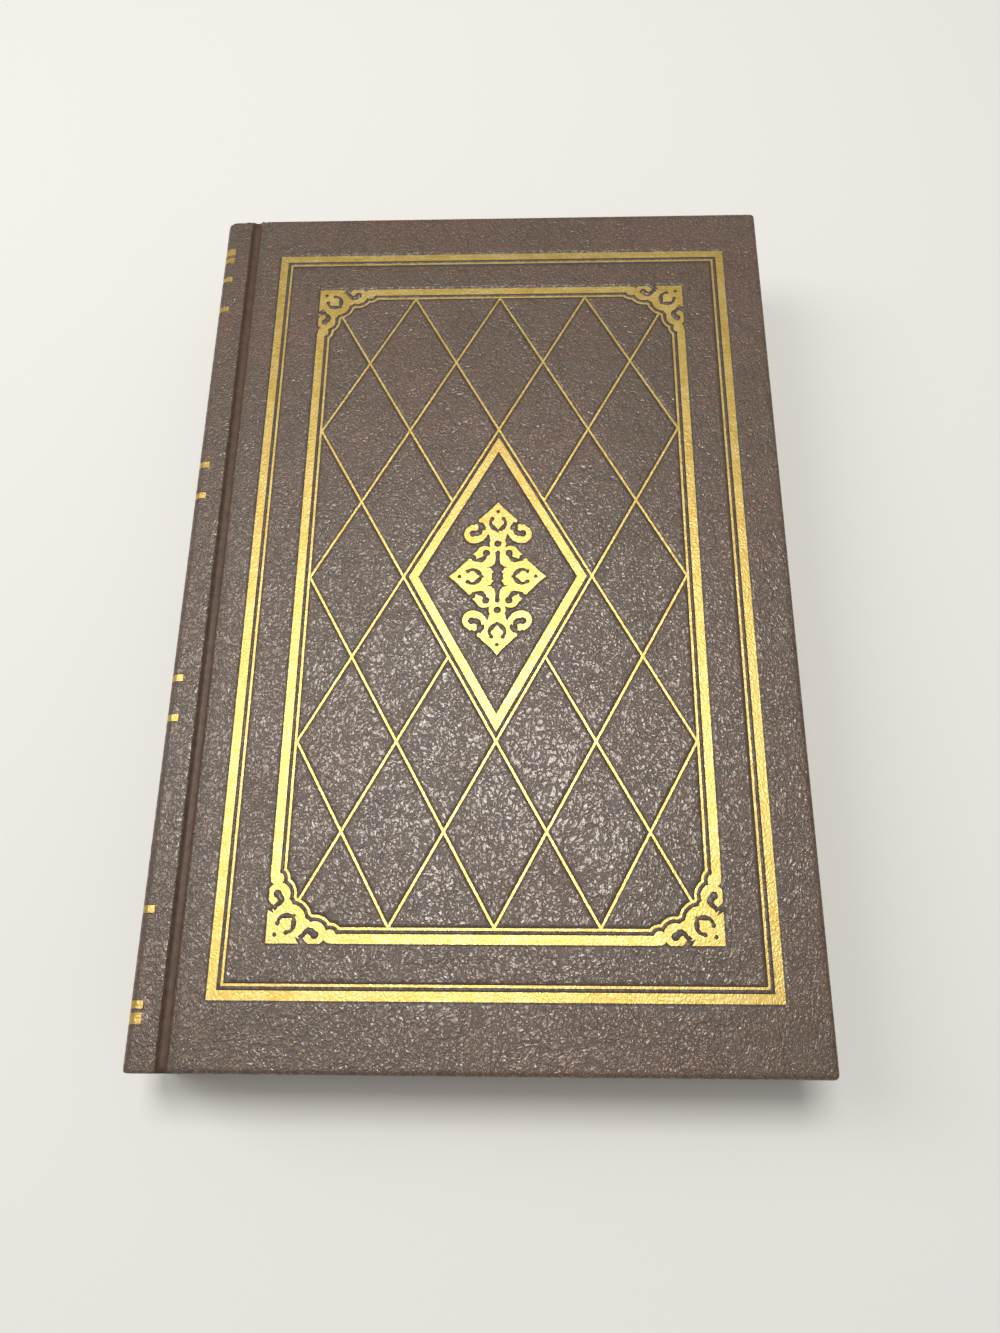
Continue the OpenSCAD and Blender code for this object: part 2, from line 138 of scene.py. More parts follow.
class Look:
    def __init__(self, name, kind=bpy.data.materials):
        self.material = kind.new(name)
        self.material.use_nodes = True
        self.tree = self.material.node_tree
        self.shader = self.tree.nodes.get("Principled BSDF") or self.tree.nodes["Background"]

    # any node: its settings first, then the values or wires of its sockets
    def node(self, kind, settings=None, sockets=None, out=0):
        new = self.tree.nodes.new(kind)
        for key, value in (settings or {}).items():
            setattr(new, key, value)
        for key, value in (sockets or {}).items():
            self.plug(new.inputs[key], value)
        return Wire(self, new.outputs[out])

    def maths(self, kind, first, second):
        return self.node("ShaderNodeMath", {"operation": kind}, {0: first, 1: second})

    def plug(self, socket, value):
        if isinstance(value, Wire):
            self.tree.links.new(value.socket, socket)
        elif isinstance(value, (tuple, list)) and len(value) == 3 and socket.type == "RGBA":
            socket.default_value = (*value, 1)
        else:
            socket.default_value = value

    def set(self, **sockets):
        for key, value in sockets.items():
            self.plug(self.shader.inputs[key.replace("_", " ")], value)

    def place(self):
        return self.node("ShaderNodeTexCoord", out="Object")

    def stretch(self, vector, scale):
        return self.node("ShaderNodeVectorMath", {"operation": "MULTIPLY"}, {0: vector, 1: scale})

    # the place, pushed about by a noise of that cell size
    def warp(self, vector, cell, amount):
        push = self.node("ShaderNodeTexNoise", {"noise_dimensions": "3D"},
                         {"Vector": vector, "Scale": 1 / cell, "Detail": 2.0}, out="Color")
        centred = self.node("ShaderNodeVectorMath", {"operation": "SUBTRACT"},
                            {0: push, 1: (0.5, 0.5, 0.5)})
        scaled = self.node("ShaderNodeVectorMath", {"operation": "SCALE"}, {0: centred, "Scale": amount})
        return self.node("ShaderNodeVectorMath", {"operation": "ADD"}, {0: vector, 1: scaled})

    def noise(self, vector, cell, detail=2.0, rough=0.5):
        return self.node("ShaderNodeTexNoise", {}, {"Vector": vector, "Scale": 1 / cell, "Detail": detail,
                                                    "Roughness": rough})

    # distance from the edges between cells, 0 on an edge
    def cracks(self, vector, cell):
        return self.node("ShaderNodeTexVoronoi", {"feature": "DISTANCE_TO_EDGE"},
                         {"Vector": vector, "Scale": 1 / cell})

    def mix(self, share, first, second):
        return self.node("ShaderNodeMix", {"data_type": "RGBA"}, {0: share, 6: first, 7: second}, out=2)

    def bump(self, height, depth):
        return self.node("ShaderNodeBump", {}, {"Strength": 1.0, "Distance": depth, "Height": height})


leather = {
    "colour": (0.136, 0.072, 0.034),
    "shadeAndScorch": (0.016, 0.008, 0.005),       # painted shade in the valleys and creases of the grain; beside the gilt, scorch of the pressing and painted shade
    "red": (0.162, 0.074, 0.039),
    "patches": 30 * mm,                  # cell of the change between the brown and the red
    "drift": (24 * mm, 9 * mm),          # cell and reach of the wander of the whole grain
    "bend": (1.3 * mm, 1.0 * mm),        # the same for single pebbles
    "along": 0.80,                       # below 1 makes the pebbles longer along the book
    "pebble": 0.90 * mm,
    "wrinkle": 1.20 * mm,
    "crease": 9.0 * mm,
    "pebbleDepth": 0.045 * mm,
    "wrinkleDepth": 0.065 * mm,
    "creaseDepth": 0.06 * mm,
    "pebbleShade": 0.4,
    "wrinkleShade": 0.75,
    "creaseShade": 0.3,
    "pressedShade": 0.75,
    "pressedFlat": 0.8,                  # share of the grain that the pressing takes away
    "roughness": 0.23,
}


# the grain as three maps, 0 in a valley and 1 on the leather: pebbles, narrow wrinkles, a few wide creases
def grainHeight(look):
    place = look.stretch(look.warp(look.place(), *leather["drift"]), (1.0, leather["along"], 1.0))
    bent = look.warp(place, *leather["bend"])
    pebbles = look.cracks(bent, leather["pebble"]).step(-0.1, 0.42)
    wrinkles = abs(look.noise(bent, leather["wrinkle"], 2.0, 0.6) - 0.5).step(0.0, 0.10)
    creases = abs(look.noise(place, leather["crease"], 3.0, 0.6) - 0.5).step(0.0, 0.03)
    return pebbles, wrinkles, creases


def leatherLook():
    look = Look("leather")
    pebbles, wrinkles, creases = grainHeight(look)
    # pressed: beside the gilt the scorch of the pressing with painted shade, and painted shade towards the
    # groove and in the spine's dent
    pressed = look.node("ShaderNodeAttribute", {"attribute_name": "pressed"}, out=2)
    tone = look.noise(look.place(), leather["patches"], 2.0)
    colour = look.mix(tone.step(0.38, 0.68), leather["colour"], leather["red"])
    # painted shade: darker in the valleys and creases of the grain and where pressed is high
    colour = look.mix((1 - pebbles) * leather["pebbleShade"], colour, leather["shadeAndScorch"])
    colour = look.mix((1 - wrinkles) * leather["wrinkleShade"], colour, leather["shadeAndScorch"])
    colour = look.mix((1 - creases) * leather["creaseShade"], colour, leather["shadeAndScorch"])
    colour = look.mix(pressed * leather["pressedShade"], colour, leather["shadeAndScorch"])
    height = (pebbles * leather["pebbleDepth"] + wrinkles * leather["wrinkleDepth"]
              + creases * leather["creaseDepth"]) * (1 - pressed * leather["pressedFlat"])
    look.set(Base_Color=colour,
             Roughness=leather["roughness"] + (1 - wrinkles) * 0.3 + tone * 0.10 + pressed * 0.25,
             Normal=look.bump(height, 1.0))
    look.set(Specular_IOR_Level=0.95, Coat_Weight=0.08, Coat_Roughness=0.35)
    return look.material


gold = {
    "colour": (0.64, 0.46, 0.140),
    "shade": (0.40, 0.26, 0.060),        # painted shade in the valleys of the grain
    "pale": (0.72, 0.56, 0.230),
    "patches": 4 * mm,
    "pebbleShade": 0.6,
    "wrinkleShade": 0.3,
    "roughness": 0.27,
    "grainDepth": 0.022 * mm,
    "wrinkleShare": 0.4,                 # of that depth
}


# foil takes on the grain of the leather under it, as bump, with painted shade in its valleys
def goldLook():
    look = Look("gold")
    pebbles, wrinkles, _ = grainHeight(look)
    tone = look.noise(look.place(), gold["patches"], 2.0, 0.6)
    colour = look.mix(tone.step(0.35, 0.65), gold["colour"], gold["pale"])
    # painted shade in the grain's valleys
    colour = look.mix((1 - pebbles) * gold["pebbleShade"], colour, gold["shade"])
    colour = look.mix((1 - wrinkles) * gold["wrinkleShade"], colour, gold["shade"])
    height = pebbles * gold["grainDepth"] + wrinkles * (gold["grainDepth"] * gold["wrinkleShare"])
    look.set(Base_Color=colour, Metallic=1.0,
             Roughness=gold["roughness"] + (1 - pebbles) * 0.14 + tone * 0.08,
             Normal=look.bump(height, 1.0))
    return look.material


paper = {
    "edge": (0.72, 0.62, 0.44),
    "edgeDark": (0.52, 0.42, 0.27),
    "edgeAged": (0.60, 0.47, 0.29),
    "leaf": 0.11 * mm,
    "group": 1.4 * mm,                   # leaves that swell together
    "sheet": (0.74, 0.67, 0.52),
    "sheetCloud": (0.66, 0.57, 0.40),
    "sheetFibre": (0.56, 0.47, 0.32),
    "fibre": 0.7 * mm,
}


# trimmed edges: fine lines, one for each few leaves
def pagesLook():
    look = Look("pages")
    place = look.place()
    lines = look.noise(look.stretch(place, (0.02, 0.02, 1.0)), paper["leaf"], 3.0, 0.7)
    groups = look.noise(look.stretch(place, (0.01, 0.01, 1.0)), paper["group"], 2.0)
    toned = look.noise(place, 40 * mm, 2.0)
    colour = look.mix(lines.step(0.35, 0.65), paper["edgeDark"], paper["edge"])
    colour = look.mix(groups.step(0.3, 0.7) * 0.35, colour, paper["edge"])
    colour = look.mix(toned.step(0.4, 0.7) * 0.3, colour, paper["edgeAged"])
    look.set(Base_Color=colour, Roughness=0.85,
             Normal=look.bump(lines * (0.05 * mm) + groups * (0.08 * mm), 1.0))
    return look.material


def endpaperLook():
    look = Look("endpaper")
    place = look.place()
    fibre = look.noise(place, paper["fibre"], 4.0, 0.65)
    cloud = look.noise(place, 30 * mm, 3.0)
    colour = look.mix(cloud.step(0.35, 0.7) * 0.5, paper["sheet"], paper["sheetCloud"])
    colour = look.mix(fibre.step(0.5, 0.75) * 0.18, colour, paper["sheetFibre"])
    look.set(Base_Color=colour, Roughness=0.88, Normal=look.bump(fibre * (0.03 * mm), 1.0))
    return look.material


board = {"dark": (0.22, 0.18, 0.14), "pale": (0.38, 0.33, 0.27), "fibre": 1.2 * mm, "depth": 0.08 * mm}


def boardLook():
    look = Look("board")
    fibre = look.noise(look.place(), board["fibre"], 4.0, 0.7)
    colour = look.mix(fibre.step(0.35, 0.7), board["dark"], board["pale"])
    look.set(Base_Color=colour, Roughness=0.9, Normal=look.bump(fibre * board["depth"], 1.0))
    return look.material


lining = {"dark": (0.42, 0.36, 0.26), "pale": (0.66, 0.60, 0.48), "threads": 320.0, "depth": 0.12 * mm}


# woven cloth of crossing threads, in the plane of Y and Z
def liningLook():
    look = Look("lining")
    place = look.place()
    across, along = [look.node("ShaderNodeTexWave", {"bands_direction": way},
                               {"Vector": place, "Scale": lining["threads"]}) for way in ("Y", "Z")]
    weave = across * 0.5 + along * 0.5
    colour = look.mix(weave.step(0.3, 0.8), lining["dark"], lining["pale"])
    look.set(Base_Color=colour, Roughness=0.9, Normal=look.bump(weave * lining["depth"], 1.0))
    return look.material


silk = {"red": (0.30, 0.045, 0.03), "cream": (0.62, 0.50, 0.32), "turns": 100.0, "threads": 520.0,
        "depth": 0.15 * mm}


# an end band: red and cream threads wound side by side
def silkLook():
    look = Look("silk")
    place = look.place()
    turns, threads = [look.node("ShaderNodeTexWave", {"bands_direction": "Z"},
                                {"Vector": place, "Scale": silk[size]}) for size in ("turns", "threads")]
    colour = look.mix(turns.step(0.45, 0.55), silk["red"], silk["cream"])
    look.set(Base_Color=colour, Roughness=0.6, Normal=look.bump(threads * silk["depth"], 1.0))
    return look.material


# the room: plain light on the object, a pale ceiling in what shines, a pale backdrop behind it
ceiling = {
    "light": 0.38,
    "high": 0.52,                        # straight up, as a shiny surface sees it
    "low": 0.40,
    "starts": 0.50,                      # upward share of a direction where the high part begins
    "ends": 0.95,
    "backdrop": 0.80,
    "tint": (1.0, 0.995, 0.95),
}
ground = {
    "colour": (0.76, 0.755, 0.75),
    "far": (0.80, 0.796, 0.76),
    "near": 0.25,                        # metres from the book where the floor starts to run out
    "end": 0.9,
    "size": 3.0,
}
black = (0.0, 0.0, 0.0)


# the floor takes the shadow near the book and runs out into the backdrop further off
def floorLook():
    look = Look("floor")
    isCamera = look.node("ShaderNodeLightPath", out=0)
    away = look.node("ShaderNodeVectorMath", {"operation": "LENGTH"}, {0: look.place()}, out=1)
    far = away.step(ground["near"], ground["end"]) * isCamera
    look.set(Base_Color=look.mix(far, ground["colour"], black), Roughness=0.9,
             Emission_Color=look.mix(far, black, ground["far"]), Emission_Strength=1.0,
             Specular_IOR_Level=0.0)
    return look.material


room = Look("room", bpy.data.worlds)
upward = room.node("ShaderNodeSeparateXYZ", {}, {0: room.node("ShaderNodeTexCoord")}, out=2)
isGlossy = room.node("ShaderNodeLightPath", out=3)
isCamera = room.node("ShaderNodeLightPath", out=0)
shine = upward.step(ceiling["starts"], ceiling["ends"]) * (ceiling["high"] - ceiling["low"]) + ceiling["low"]
strength = (isGlossy * shine + isCamera * ceiling["backdrop"]
            + (1 - isGlossy) * (1 - isCamera) * ceiling["light"])
room.set(Color=ceiling["tint"], Strength=strength)
bpy.context.scene.world = room.material

looks = {"leather": leatherLook(), "gilt": goldLook(), "pages": pagesLook(), "endpaper": endpaperLook(),
         "board": boardLook(), "lining": liningLook(), "silk": silkLook(), "floor": floorLook()}

slotOf = {part["node"]: part["material_slot"] for part in frame["record"]["subparts"]}
for name, obj in nodes.items():
    obj.data.materials.clear()
    obj.data.materials.append(looks[slotOf[name]])
print("materials:", len(looks))


def addMesh(name, points, faces, look, smooth=True):
    data = bpy.data.meshes.new(name)
    data.from_pydata([tuple(p) for p in points], [], [tuple(f) for f in faces])
    data.validate()
    data.materials.append(looks[look])
    data.polygons.foreach_set("use_smooth", [smooth] * len(data.polygons))
    obj = bpy.data.objects.new(name, data)
    bpy.context.scene.collection.objects.link(obj)
    return obj


half = ground["size"] / 2
floor = addMesh("floor", [(-half, -half, 0), (half, -half, 0), (half, half, 0), (-half, half, 0)],
                [(0, 1, 2, 3)], "floor", False)


# a leather skin, with how dark each of its first points is painted: scorch and painted shade beside the
# gilt, painted shade in hollows
def addLeather(name, points, faces, scorchAndShade):
    skin = addMesh(name, points, faces, "leather")
    pressed = skin.data.attributes.new("pressed", "FLOAT", "POINT")
    pressed.data.foreach_set("value", scorchAndShade + [0.0] * (len(points) - len(scorchAndShade)))
    print(name + ":", len(points), "points", len(faces), "faces")
    return skin


# Leather of a cover: the face with its pressed lines, the rounded edges and the turn-ins as one closed skin

cover = {
    "edge": 1.1 * mm,        # rounding of the outer edges
    "edgeSteps": 5,
    "corner": 1.2 * mm,      # rounding of the corners
    "cornerSteps": 4,
    "rimStep": 1.2 * mm,     # spacing of the points along the straight sides
    "skin": 0.8 * mm,
    "lip": 0.15 * mm,        # bevel where the side meets the inside
    "lap": 3 * mm,           # width of the first strip of the turn-in
    "turnIn": 15 * mm,
    "turnInSkin": 0.4 * mm,
    "boardGap": 0.05 * mm,
    "grid": 0.84 * mm,       # spacing of the points over the face
    "gridFrom": 0.5 * mm,    # room between the rounded edges and the first and last points
    "gridTo": 0.4 * mm,
    "gridKeep": 0.2 * mm,
    "gridOff": 1.9,          # times the slope, from a pressed line
    "shift": 0.25,           # of the spacing
    "lineStep": 0.9 * mm,    # spacing of the points along a pressed line
    "slope": 0.20 * mm,      # width of the slope beside a pressed line
    "slopeOff": 0.7,         # times the slope, between its foot and the next line
    "pressed": 0.15 * mm,
    "brink": 0.85,           # share of that depth at the line's own edge
    "scorchAndShadeReach": 0.35 * mm,     # how far the leather is darkened beside the slope, as scorch of the pressing and painted shade
    "dip": 0.5 * mm,         # fall of the face towards the groove
    "dipWidth": 2.6 * mm,
    # painted shade where the face falls into the groove
    "dipShade": 0.6,
    "bulge": 0.035 * mm,     # unevenness of the face
    "calmRim": 2 * mm,       # it fades out this near the rim, and a pressed line
    "calmLine": 1.2 * mm,
}
waves = {"count": 24, "shortest": 2.2, "longest": 16.0, "full": 9}     # mm, and the sum that counts as full

rng = np.random.default_rng(7)
waveDirections = rng.uniform(0, math.pi, waves["count"])
waveLengths = rng.uniform(waves["shortest"], waves["longest"], waves["count"]) * mm
wavePhases = rng.uniform(0, 2 * math.pi, waves["count"])


# gentle unevenness of the leather, between -1 and 0
def uneven(x, y):
    total = np.zeros_like(x)
    for turn, length, phase in zip(waveDirections, waveLengths, wavePhases):
        total += np.sin((x * math.cos(turn) + y * math.sin(turn)) * 2 * math.pi / length + phase)
    return np.clip(total / waves["full"], -1, 1) * 0.5 - 0.5


def clamp(share):
    return min(1, max(0, share))


def eased(share):
    return share * share * (3 - 2 * share)


# outline of the gilt seen from above, in mm, as stretches with the leather on their right, and its triangles
def giltOutline(names):
    stretches = []
    triangles = []
    for name in names:
        data = nodes[name].data
        top = max(v.co.z for v in data.vertices)
        edges = {}
        for face in data.polygons:
            if face.normal.z < 0.9 or data.vertices[face.vertices[0]].co.z < top - 0.01 * mm:
                continue
            spots = [data.vertices[v].co for v in face.vertices]
            ring = [(round(co.x / mm, 4), round(co.y / mm, 4)) for co in spots]
            triangles.append(ring)
            for first, second in zip(ring, ring[1:] + ring[:1]):
                if (second, first) in edges:
                    del edges[(second, first)]
                else:
                    edges[(first, second)] = True
        stretches += list(edges)
    return stretches, triangles


# how far a place is from the edges of the gilt
def distanceFrom(walls):
    if not walls:
        return lambda x, y: 1.0
    tree = BVHTree.FromPolygons(walls, [tuple(range(k, k + 4)) for k in range(0, len(walls), 4)])
    return lambda x, y: tree.find_nearest((x, y, 0))[3]


# whether a place lies under the gilt
def insideOf(triangles):
    if not triangles:
        return lambda x, y: False
    points = [(x * mm, y * mm, 0) for ring in triangles for x, y in ring]
    tree = BVHTree.FromPolygons(points, [tuple(range(k, k + 3)) for k in range(0, len(points), 3)])
    return lambda x, y: tree.ray_cast((x, y, 1), (0, 0, -1))[0] is not None


# the rim seen from above, anticlockwise: centres of its rounding, with the outward direction at each
def coverRim(low, high):
    r = cover["corner"]
    corners = []
    for cx, cy, start in ((high.x - r, low.y + r, -90), (high.x - r, high.y - r, 0),
                          (low.x + r, high.y - r, 90), (low.x + r, low.y + r, 180)):
        for k in range(cover["cornerSteps"] + 1):
            turn = math.radians(start + 90 * k / cover["cornerSteps"])
            corners.append((cx, cy, math.cos(turn), math.sin(turn)))
    rim = []
    for k, (cx, cy, nx, ny) in enumerate(corners):
        rim.append((cx, cy, nx, ny))
        dx, dy, mx, my = corners[(k + 1) % len(corners)]
        if math.hypot(mx - nx, my - ny) < 1e-6:
            steps = max(1, round(math.hypot(dx - cx, dy - cy) / cover["rimStep"]))
            for j in range(1, steps):
                rim.append((cx + (dx - cx) * j / steps, cy + (dy - cy) * j / steps, nx, ny))
    return np.array(rim)


# points on the rim and along the gilt, the lines that join them, the feet of the slopes, and upright walls
def facePoints(border, stretches):
    count = len(border)
    points = [Vector(p) for p in border]
    lines = [(k, (k + 1) % count) for k in range(count)]
    feet = []
    walls = []
    for start, stop in stretches:
        a, b = np.array(start) * mm, np.array(stop) * mm
        length = np.linalg.norm(b - a)
        if length < 1e-9:
            continue
        out = np.array((b[1] - a[1], a[0] - b[0])) / length
        walls += [(*a, -1), (*b, -1), (*b, 1), (*a, 1)]
        steps = max(1, math.ceil(length / cover["lineStep"]))
        first = len(points)
        for k in range(steps + 1):
            spot = a + (b - a) * k / steps
            points.append(Vector(spot))
            if k < steps:
                lines.append((first + k, first + k + 1))
                middle = a + (b - a) * (k + 0.5) / steps
                feet.append(middle + out * cover["slope"])
                if steps > 1 or length > cover["slope"]:
                    feet.append(spot + out * cover["slope"])
    return points, lines, feet, walls


# a grid over the face, each point a little off its place, and none near the gilt
def faceGrid(low, high, distance):
    edge, keep = cover["edge"], cover["gridKeep"]
    xs = np.arange(low.x + edge + cover["gridFrom"], high.x - edge - cover["gridTo"], cover["grid"])
    ys = np.arange(low.y + edge + cover["gridFrom"], high.y - edge - cover["gridTo"], cover["grid"])
    shift = rng.uniform(-cover["shift"], cover["shift"], (len(xs), len(ys), 2)) * cover["grid"]
    points = []
    for i, x in enumerate(xs):
        for j, y in enumerate(ys):
            px = min(max(x + shift[i, j, 0], low.x + edge + keep), high.x - edge - keep)
            py = min(max(y + shift[i, j, 1], low.y + edge + keep), high.y - edge - keep)
            if distance(px, py) > cover["slope"] * cover["gridOff"]:
                points.append(Vector((px, py)))
    return points


def coverLeather(name, node, body, gilt, up):
    low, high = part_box(node)
    face = high.z if up > 0 else low.z
    inner = low.z if up > 0 else high.z
    edge = cover["edge"]
    rim = coverRim(low, high)
    count = len(rim)

    # fall of the face towards the groove, at a place across the book
    def dip(x):
        return cover["dip"] * (1 - eased(np.clip((x - low.x) / cover["dipWidth"], 0, 1)))

    def ring(inset, height, sloped=0):
        flat = rim[:, :2] + rim[:, 2:] * (cover["corner"] - inset)
        return np.column_stack([flat, height - up * sloped * dip(flat[:, 0])])

    # inside, the leather is turned in on three sides and ends at the board on the joint side
    def innerRing(joint, inset, height):
        flat = rim[:, :2] + rim[:, 2:] * cover["corner"]
        across = (flat[:, 0] - low.x) / (high.x - low.x)
        along = (flat[:, 1] - low.y) / (high.y - low.y)
        return np.column_stack([low.x + joint + across * (high.x - low.x - joint - inset),
                                low.y + inset + along * (high.y - low.y - 2 * inset),
                                np.full(count, height)])

    def turned(corners):
        return tuple(corners) if up > 0 else tuple(reversed(corners))

    stretches, triangles = giltOutline(gilt)
    isGilt = insideOf(triangles)
    points, lines, feet, walls = facePoints(ring(edge, 0)[:, :2], stretches)
    distance = distanceFrom(walls)
    points += [Vector(spot) for spot in feet if distance(*spot) > cover["slope"] * cover["slopeOff"]]
    points += faceGrid(low, high, distance)
    flat, _, faces, sources, _, _ = delaunay_2d_cdt([p / mm for p in points], lines, [], 0, 1e-5, True)
    flat = [p * mm for p in flat]

    # heights: down the slopes to the bottom of the pressed lines
    rise = uneven(np.array([p.x for p in flat]), np.array([p.y for p in flat])) * cover["bulge"]
    mesh = []
    scorchAndShade = []
    for p, lift in zip(flat, rise):
        away = distance(p.x, p.y)
        if away > 1e-6 and isGilt(p.x, p.y):
            depth = cover["pressed"]
        else:
            margin = min(p.x - low.x - edge, high.x - edge - p.x, p.y - low.y - edge, high.y - edge - p.y)
            calm = clamp(margin / cover["calmRim"]) * clamp(away / cover["calmLine"])
            share = 1 - eased(min(1, away / cover["slope"]))
            depth = share * cover["pressed"] * cover["brink"] - lift * calm
        mesh.append((p.x, p.y, face - up * (max(0, depth) + dip(p.x))))
        # beside the gilt: scorch with painted shade; where the face dips to the groove: painted shade
        scorchAndShade.append(max(1 - clamp((away - cover["slope"]) / cover["scorchAndShadeReach"]),
                         dip(p.x) / cover["dip"] * cover["dipShade"]))
    shape = [turned(corners) for corners in faces]

    # which output point is each rim point
    rimIndex = [None] * count
    for k, source in enumerate(sources):
        for s in source:
            if s < count:
                rimIndex[s] = k
    rows = [rimIndex]

    def addPoints(places):
        first = len(mesh)
        mesh.extend(tuple(p) for p in places)
        rows.append(list(range(first, first + count)))

    # down the rounded edge and the side, in along the turn-in, and back out round the room for the board
    for k in range(1, cover["edgeSteps"] + 1):
        turn = math.radians(90 * k / cover["edgeSteps"])
        addPoints(ring(edge * (1 - math.sin(turn)), face - up * edge * (1 - math.cos(turn)),
                       1 - k / (cover["edgeSteps"] + 1)))
    addPoints(ring(0, (face - up * edge + inner) / 2))
    addPoints(ring(0, inner + up * cover["lip"]))
    addPoints(ring(cover["lip"], inner))
    addPoints(ring(cover["skin"] + cover["lap"], inner))
    jointSkin = cover["skin"] + cover["boardGap"]
    addPoints(innerRing(jointSkin, cover["turnIn"], inner))
    addPoints(innerRing(jointSkin, cover["turnIn"], inner + up * cover["turnInSkin"]))
    addPoints(ring(cover["skin"], inner + up * cover["turnInSkin"]))
    addPoints(ring(cover["skin"], face - up * cover["skin"]))
    for upper, lower in zip(rows, rows[1:]):
        for k in range(count):
            j = (k + 1) % count
            shape.append(turned((upper[k], lower[k], lower[j], upper[j])))
    shape.append(turned(rows[-1]))
    skin = addLeather(name, mesh, shape, scorchAndShade)
    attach(skin, body)
    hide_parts(node)


giltNodes = ["outer_frame", "inner_frame", "lattice", "lozenge_frame", "centre_ornament",
             "corner_ornaments"]
coverLeather("frontCoverLeather", "front_leather", "front_cover", giltNodes, 1)
coverLeather("backCoverLeather", "back_leather", "back_cover", [], -1)


# Leather of the spine: one sweep of the section from groove to groove, with its crease, ridges and pleats

spine = {
    "radius": 45 * mm,
    "edgeRadius": 3 * mm,
    "ridgeRadius": 0.5 * mm,
    "grooveX": -68.7 * mm,
    "grooveDepth": 2.3 * mm,
    "skin": 0.8 * mm,
    "foldedSkin": 2.2 * mm,      # leather, card and turn-in at the head and the tail
    "foldedFrom": 0.5 * mm,      # behind the shoulder
    "foldHeight": 12.6 * mm,     # from the middle: the leather of the groove lies further out
    "turnIn": 15 * mm,
    "step": 0.42 * mm,           # spacing of the points across the spine
    "rowStep": 0.50 * mm,        # spacing of the rows along it
    "endRound": 0.7 * mm,
    "endRows": 6,
    "creaseX": -75.3 * mm,       # long dent where the card ends
    "creaseDepth": 0.14 * mm,
    "creaseWidth": 0.45 * mm,
    # painted shade in the dent
    "dentShade": 0.5,
    "waver": 0.12 * mm,          # how far the dent and the ridges wander
    "waverLengths": (17 * mm, 7.3 * mm),
    "ridgeX": -70.6 * mm,        # the two fine ridges beside the groove
    "ridgeGap": 0.75 * mm,
    "ridgeWidth": 0.22 * mm,
    "ridgeHeight": 0.10 * mm,
    "ridgeLength": 5 * mm,       # over which their height comes and goes
    "slope": 0.22 * mm,
    "slopeBack": 1.5 * mm,       # the fall ends this far behind the dent
    "lip": 0.06 * mm,            # width of the wall beside a gilt line
    "ruleDepth": 0.16 * mm,      # depth of the leather under the gilt lines
    "wrinkle": 0.075 * mm,
    "pleat": 0.16 * mm,
    "pleatCount": 17,            # in a full turn of the fan
    "pleatX": 1.6 * mm,          # the fan's centre, from the groove and from the head or the tail
    "pleatY": 7.5 * mm,
    "pleatReach": 6.5 * mm,
    "pleatEdge": 1 * mm,         # they start this far behind the shoulder
    "pleatRise": 2 * mm,
    "plainFrom": 0.1 * mm,       # beyond the groove's wall the leather is plain
    "plainRise": 0.3 * mm,
    # painted shade beside the groove's wall
    "grooveShade": 0.6,
}

spineWaves = [(rng.uniform(0.15, 0.85) * math.pi, rng.uniform(1.3, 4.2) * mm, rng.uniform(0, 2 * math.pi))
              for k in range(20)]


# the section from the front groove round to the back one: points with their outward directions
def spineSection(low, high):
    midZ = (low.z + high.z) / 2
    axisX = low.x + spine["radius"]
    rise = high.z - midZ
    edgeRise = rise - spine["edgeRadius"]
    bend = math.asin(edgeRise / (spine["radius"] - spine["edgeRadius"]))
    edgeX = axisX - (spine["radius"] - spine["edgeRadius"]) * math.cos(bend)
    ridgeX = spine["grooveX"] - spine["ridgeRadius"]
    floorRise = rise - spine["grooveDepth"]
    section = []

    def arc(cx, cz, radius, start, stop):
        steps = max(3, math.ceil(abs(stop - start) * radius / spine["step"]))
        for k in range(steps):
            turn = start + (stop - start) * k / steps
            section.append((cx + radius * math.cos(turn), cz + radius * math.sin(turn),
                            math.cos(turn), math.sin(turn)))

    def line(ax, az, bx, bz, nx, nz):
        steps = max(1, math.ceil(math.hypot(bx - ax, bz - az) / spine["step"]))
        for k in range(steps):
            section.append((ax + (bx - ax) * k / steps, az + (bz - az) * k / steps, nx, nz))

    halfTurn = math.pi
    line(high.x, midZ + floorRise, spine["grooveX"], midZ + floorRise, 0, 1)
    line(spine["grooveX"], midZ + floorRise, spine["grooveX"], midZ + rise - spine["ridgeRadius"], 1, 0)
    arc(ridgeX, midZ + rise - spine["ridgeRadius"], spine["ridgeRadius"], 0, halfTurn / 2)
    line(ridgeX, midZ + rise, edgeX, midZ + rise, 0, 1)
    arc(edgeX, midZ + edgeRise, spine["edgeRadius"], halfTurn / 2, halfTurn - bend)
    arc(axisX, midZ, spine["radius"], halfTurn - bend, halfTurn + bend)
    arc(edgeX, midZ - edgeRise, spine["edgeRadius"], halfTurn + bend, halfTurn * 1.5)
    line(edgeX, midZ - rise, ridgeX, midZ - rise, 0, -1)
    arc(ridgeX, midZ - rise + spine["ridgeRadius"], spine["ridgeRadius"], -halfTurn / 2, 0)
    line(spine["grooveX"], midZ - rise + spine["ridgeRadius"], spine["grooveX"], midZ - floorRise, 1, 0)
    line(spine["grooveX"], midZ - floorRise, high.x, midZ - floorRise, 0, -1)
    section.append((high.x, midZ - floorRise, 0, -1))
    return np.array(section), midZ, edgeX


